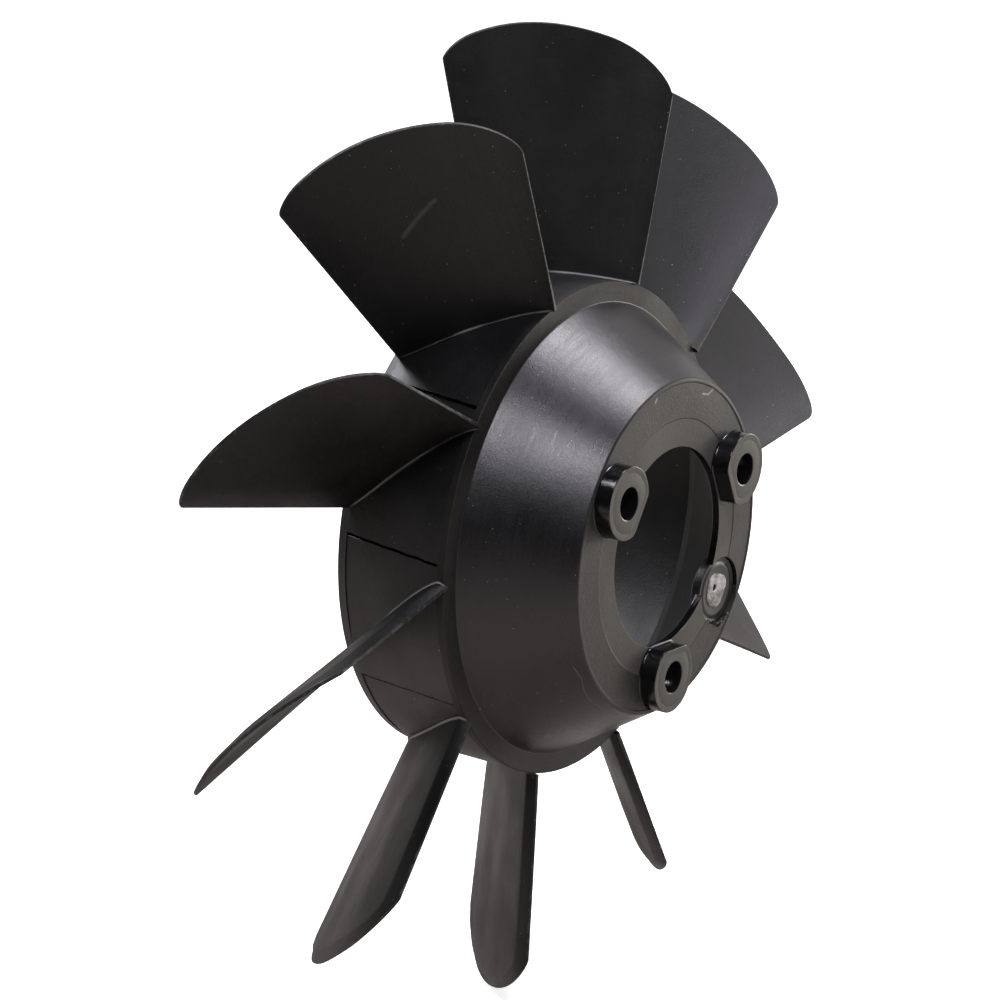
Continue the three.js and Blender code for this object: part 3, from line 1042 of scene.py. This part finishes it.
for polygon in stub.data.polygons:
    sunk = ahead_of_shoulder(polygon.center.y) < STUB_TOP - 0.1
    if sunk and polygon.area < 4e-7 and polygon.index > DOME_COLUMNS * PIN_ROW:
        polygon.material_index = 1
stand_for(stub, "gate_stub")
print("gate pad and stub:", len(pad.data.polygons), "and", len(stub.data.polygons), "faces")

# %% [markdown]
# Where the runner was cut away, a few crumbs of plastic stayed on the notch's lower edge. They are small
# faceted grains, scattered by a Geometry Nodes tree along a short arc with a fixed seed.

# %% Crumbs
crumb, ask = new_tree("edge_crumbs", "Geometry", {
    "Radius": 0.009, "From Angle": -1.9, "Sweep": 1.0, "Centre": (0.0, 0.0, 0.0), "Count": 26,
    "Size": 0.00045, "Seed": 7, "Finish": "Material",
}, ["Geometry"])


def chance(low, high, offset):
    """A random number for each grain, from the tree's seed and an offset of its own."""
    sockets = {2: low, 3: high, "Seed": crumb.plus(ask["Seed"], float(offset))}
    return crumb.add("FunctionNodeRandomValue", sockets, data_type="FLOAT").outputs[1]


def three_chances(low, high, offset):
    return crumb.axes(**{axis: chance(low, high, offset + number) for number, axis in enumerate("XYZ")})


share = crumb.maths("DIVIDE", crumb.add("GeometryNodeInputIndex").outputs[0], ask["Count"])
angle = crumb.plus(ask["From Angle"], crumb.times(crumb.plus(share, chance(-0.05, 0.05, 1)), ask["Sweep"]))
reach = crumb.plus(ask["Radius"], chance(-0.0005, 0.0006, 2))
place = crumb.axes(X=crumb.times(crumb.maths("COSINE", angle), reach), Y=chance(-0.0003, 0.0003, 3),
                   Z=crumb.times(crumb.maths("SINE", angle), reach))
line = crumb.add("GeometryNodeMeshLine", {"Count": ask["Count"]}).outputs[0]
points = crumb.add("GeometryNodeSetPosition", {
    "Geometry": line, "Position": crumb.vector("ADD", place, ask["Centre"])}).outputs[0]
shape = crumb.add("GeometryNodeMeshIcoSphere", {"Radius": ask["Size"], "Subdivisions": 2}).outputs["Mesh"]
scatter = crumb.add("GeometryNodeInstanceOnPoints", {
    "Points": points, "Instance": shape, "Rotation": three_chances(0, 6.28, 10),
    "Scale": three_chances(0.35, 1.3, 20)}).outputs[0]
realize(crumb, scatter, ask["Finish"])

crumbs = run_tree("crumbs", bpy.data.meshes.new("crumbs"), crumb.tree, {
    "Radius": (PAD_RADIUS + 0.05) * MM, "From Angle": math.radians(-128), "Sweep": math.radians(70),
    "Centre": (GATE_X * MM, SHOULDER_Y - (PLATE_LEVEL - 0.1) * MM, GATE_Z * MM),
    "Count": 30, "Size": 0.00055, "Seed": 7, "Finish": GLOSS_FINISH})
pad.data.materials.append(GLOSS_FINISH)
pad_faces = len(pad.data.polygons)
joined = bmesh.new()
joined.from_mesh(pad.data)
joined.from_mesh(crumbs.data)
joined.to_mesh(pad.data)
joined.free()
for polygon in pad.data.polygons:
    polygon.material_index = int(polygon.index >= pad_faces)
print("crumbs:", len(crumbs.data.polygons), "faces")
bpy.data.objects.remove(crumbs)
pad.data.set_sharp_from_angle(angle=math.radians(40))
stand_for(pad, "gate_pad")

# %% [markdown]
# ## Blades
# A blade is ruled between its root line on the drum and its tip line. The tip line bows, crowns in the middle
# and falls away in a rounded corner at each end.

# %% Tip rule
TIP_RADIUS = 131.0
TIP_AHEAD = 4.5
TIP_BEHIND = 40.5
TIP_LEAN = 4.6
TIP_SWEEP = 20.2
TIP_BOW = 4.0
TIP_CROWN = 7.1
TIP_SKEW = 2.5
FRONT_CORNER = (0.26, 7.9)
BACK_CORNER = (0.145, 3.1)


def corner_fall(distance, share):
    """How far a rounded corner has fallen away, from 0 to 1."""
    return 1 - np.sqrt(1 - np.clip(1 - distance / share, 0, 1) ** 2)


def root_line(chord):
    ahead = -ROOT_BEHIND + (ROOT_AHEAD + ROOT_BEHIND) * chord
    return on_wheel(DRUM_RADIUS, ahead, np.radians(root_degrees(chord)))


def tip_line(chord):
    ahead = -TIP_BEHIND + (TIP_AHEAD + TIP_BEHIND) * chord - TIP_BOW * arch(chord)
    radius = (TIP_RADIUS - TIP_SKEW * (chord - 0.5) - TIP_CROWN * (1 - arch(chord))
              - BACK_CORNER[1] * corner_fall(chord, BACK_CORNER[0])
              - FRONT_CORNER[1] * corner_fall(1 - chord, FRONT_CORNER[0]))
    return on_wheel(radius, ahead, np.radians(BLADE_PHASE + TIP_LEAN + TIP_SWEEP * (1 - chord)))


print("tip rule: radius", TIP_RADIUS, "mm, sweep", TIP_SWEEP, "degrees")

# %% [markdown]
# The face that looks ahead is smooth. The face behind has a bevel along the front edge and round the tip,
# which thins the rim. The root swells into a small fillet and sinks into the drum. The edges are rounded, and
# rows and columns crowd towards them.

# %% Blade pattern
SPAN_ROWS = 64
CHORD_COLUMNS = 96
ROOT_ROWS = 17
ROOT_SHARE = 0.05
SPAN_LENGTH = 62.0
ROOT_THICKNESS = 2.2
TIP_THICKNESS = 1.7
RIM_THICKNESS = 0.6
BEVEL_WIDTH = 3.4
EDGE_ROUNDING = 0.22
ROOT_FILLET = 0.45
ROOT_SINK = 1.2
RIPPLE = 0.09
NUDGE = 0.004


def middle_surface(span, chord):
    """The ruled surface. A span below nothing carries on into the drum."""
    root = root_line(chord)
    return root + (tip_line(chord) - root) * span[..., None]


def thickness(span, chord, side, radius):
    """How far one face stands off the middle surface."""
    from_front = (1 - chord) * (45 + 20 * span)
    from_back = chord * (45 + 20 * span)
    from_tip = (1 - span) * SPAN_LENGTH
    from_edge = np.minimum(np.minimum(from_front, from_back), from_tip)
    body = ROOT_THICKNESS + (TIP_THICKNESS - ROOT_THICKNESS) * np.clip(span, 0, 1)
    body = RIM_THICKNESS + (body - RIM_THICKNESS) * np.sin(np.clip(from_back / 9.0, 0, 1) * math.pi / 2)
    offset = body / 2
    if side == -1:
        from_bevel = (np.maximum(from_front, 1e-6) ** -3 + np.maximum(from_tip, 1e-6) ** -3) ** (-1 / 3)
        width = BEVEL_WIDTH * (0.55 + 0.45 * np.clip(chord / 0.5, 0, 1))
        ripple = RIPPLE * np.cos(chord * 6 * math.pi) * np.clip(span * 3, 0, 1)
        offset = offset + ripple - np.clip(1 - from_bevel / width, 0, 1) * (body - RIM_THICKNESS)
    roundness = np.sqrt(np.clip(1 - np.clip(1 - from_edge / EDGE_ROUNDING, 0, 1) ** 2, 0, 1))
    swell = ROOT_FILLET * corner_fall(np.maximum(radius - DRUM_RADIUS, 0), ROOT_FILLET)
    swell = swell * np.clip(np.minimum(from_front, from_back) / 1.2, 0, 1)
    return side * (offset * roundness + swell)


def face_points(span, chord, side):
    """One face of the blade: side 1 looks ahead and side -1 looks behind."""
    point = middle_surface(span, chord)
    along = (middle_surface(span, np.clip(chord + NUDGE, 0, 1))
             - middle_surface(span, np.clip(chord - NUDGE, 0, 1)))
    radius = np.hypot(point[..., 0], point[..., 2])
    angle = np.arctan2(point[..., 2], point[..., 0])
    round_about = (along[..., 2] * point[..., 0] - along[..., 0] * point[..., 2]) / radius
    length = np.hypot(round_about, along[..., 1])
    offset = thickness(span, chord, side, radius)
    shifted = point[..., 1] - offset * round_about / length
    shifted = np.where(span <= 0, np.minimum(shifted, -0.35), shifted)
    return on_wheel(radius, shifted, angle + offset * along[..., 1] / length / radius)


def make_blade():
    sink = -ROOT_SINK / SPAN_LENGTH
    near_root = ROOT_SHARE * (np.arange(1, ROOT_ROWS + 1) / ROOT_ROWS) ** 1.5
    outer = 1 - (1 - ROOT_SHARE) * (1 - np.linspace(0, 1, SPAN_ROWS)[1:]) ** 2
    rows = np.concatenate([[sink, sink / 2, 0.0], near_root, outer])
    columns = (1 - np.cos(math.pi * np.linspace(0, 1, CHORD_COLUMNS))) / 2
    span, chord = np.meshgrid(rows, columns, indexing="ij")
    ring = np.concatenate([face_points(span, chord, 1), face_points(span, chord, -1)[:, ::-1]], axis=1)
    around = 2 * CHORD_COLUMNS
    faces = band_faces(len(rows), around, closed=False)
    last = (len(rows) - 1) * around
    for column in range(CHORD_COLUMNS - 1):
        twin = around - 1 - column
        faces.append([last + column, last + column + 1, last + twin - 1, last + twin])
        faces.append([column + 1, column, twin, twin - 1])
    thing = to_object("blade_pattern", ring, faces, [BLADE_FINISH], sharp=50)
    edge = np.minimum(np.minimum(chord, 1 - chord) * 55, (1 - span) * SPAN_LENGTH)
    # A thin band just above the root, across the middle of the chord, marks where the painted highlight on the
    # fillet goes.
    root_highlight = np.clip(1 - np.abs(span * SPAN_LENGTH - 0.25) / 0.3, 0, 1) * np.clip(6 * arch(chord) - 0.4, 0, 1)
    fields = {"rim": np.clip(1 - edge / 0.45, 0, 1), "chord": chord, "span": span, "root": root_highlight}
    for label, field in fields.items():
        attribute = thing.data.attributes.new(label, "FLOAT", "POINT")
        attribute.data.foreach_set("value", np.concatenate([field, field[:, ::-1]], axis=1).ravel())
    return thing


print("blade pattern:", SPAN_ROWS + ROOT_ROWS + 2, "rows of", 2 * CHORD_COLUMNS, "points")

# %% [markdown]
# All blades share one finish. One of them also carries a faint scuff, which follows the blade's curve.

# %% Blade finishes
SCUFF_BLADE = 3
SCUFF_FROM = (0.645, 0.595)
SCUFF_TO = (0.535, 0.394)
SCUFF_PIECES = 5


def on_blade(span, chord, number):
    """A point on the face that looks ahead, in metres, on the blade at one station."""
    x, ahead, z = face_points(np.array([span]), np.array([chord]), 1)[0]
    return spot(math.hypot(x, z), ahead, math.degrees(math.atan2(z, x)) + number * PITCH)


scuff = strokes([on_blade(span, chord, SCUFF_BLADE)
                 for span, chord in np.linspace(SCUFF_FROM, SCUFF_TO, SCUFF_PIECES + 1)], 0.0011)
BLADE_LOOK = dict(
    colour=(0.0018, 0.0018, 0.0020), pale=(0.0075, 0.0072, 0.0073), gloss=(0.40, 0.57), grain=0.8, dust=0.16,
    rim=0.3, streaks=0.15, cloud=0.8, mark=(0.075, 0.073, 0.07), shine=0.40)
BLADE_FINISH = black_plastic("blade_matte", **BLADE_LOOK)
SCUFFED_FINISH = black_plastic("blade_matte_marked", scratches=scuff, **BLADE_LOOK)
print("blade finishes:", BLADE_FINISH.name, SCUFFED_FINISH.name)

# %% [markdown]
# The pattern is made once, and the station tree turns a copy of it to each of the ten stations.

# %% Place the blades
blade_pattern = make_blade()
for index in range(BLADE_COUNT):
    finish = SCUFFED_FINISH if index == SCUFF_BLADE else BLADE_FINISH
    blade = copy_at_station(blade_pattern, f"fan_blade_{index + 1:02d}", index, BLADE_COUNT, finish, sharp=50)
    stand_for(blade, f"blade_{index + 1:02d}")
bpy.data.objects.remove(blade_pattern)
print("blades:", BLADE_COUNT, "of", len(blade.data.polygons), "faces")

# %% [markdown]
# ## Floor
# A plain pale floor under the lowest blade gives the wheel somewhere to stand. It is part of the stage. To
# the camera it is white, and to the plastic it is a dimmer, warmer grey, like a floor that falls into shade.

# %% Floor
HALF_FLOOR = 6.0
FLOOR_GLOW = 0.75
FLOOR_BOUNCE = (0.45, 0.415, 0.365, 1)
FLOOR_SEEN = (0.93, 0.93, 0.93, 1)
floor_z = cad_box[0][2]
floor_mesh = bpy.data.meshes.new("floor")
corners = [(x * HALF_FLOOR, y * HALF_FLOOR, floor_z) for x, y in ((-1, -1), (1, -1), (1, 1), (-1, 1))]
floor_mesh.from_pydata(corners, [], [(0, 1, 2, 3)])
floor = bpy.data.objects.new("floor", floor_mesh)
bpy.context.collection.objects.link(floor)
floor_paint = bpy.data.materials.new("pale_floor")
floor_paint.use_nodes = True
wires = Wires(floor_paint.node_tree)
paint = floor_paint.node_tree.nodes["Principled BSDF"].inputs
looked_at = wires.add("ShaderNodeLightPath").outputs["Is Camera Ray"]
paint["Emission Color"].default_value = (1, 1, 1, 1)
wires.feed(wires.mix(looked_at, FLOOR_BOUNCE, FLOOR_SEEN), paint["Base Color"])
wires.feed(wires.times(looked_at, FLOOR_GLOW), paint["Emission Strength"])
wires.feed(wires.ramp(wires.noise(wires.place(), 3.0), 0.3, 0.7, 0.75, 0.85), paint["Roughness"])
floor_mesh.materials.append(floor_paint)
print("floor at", round(floor_z, 4))
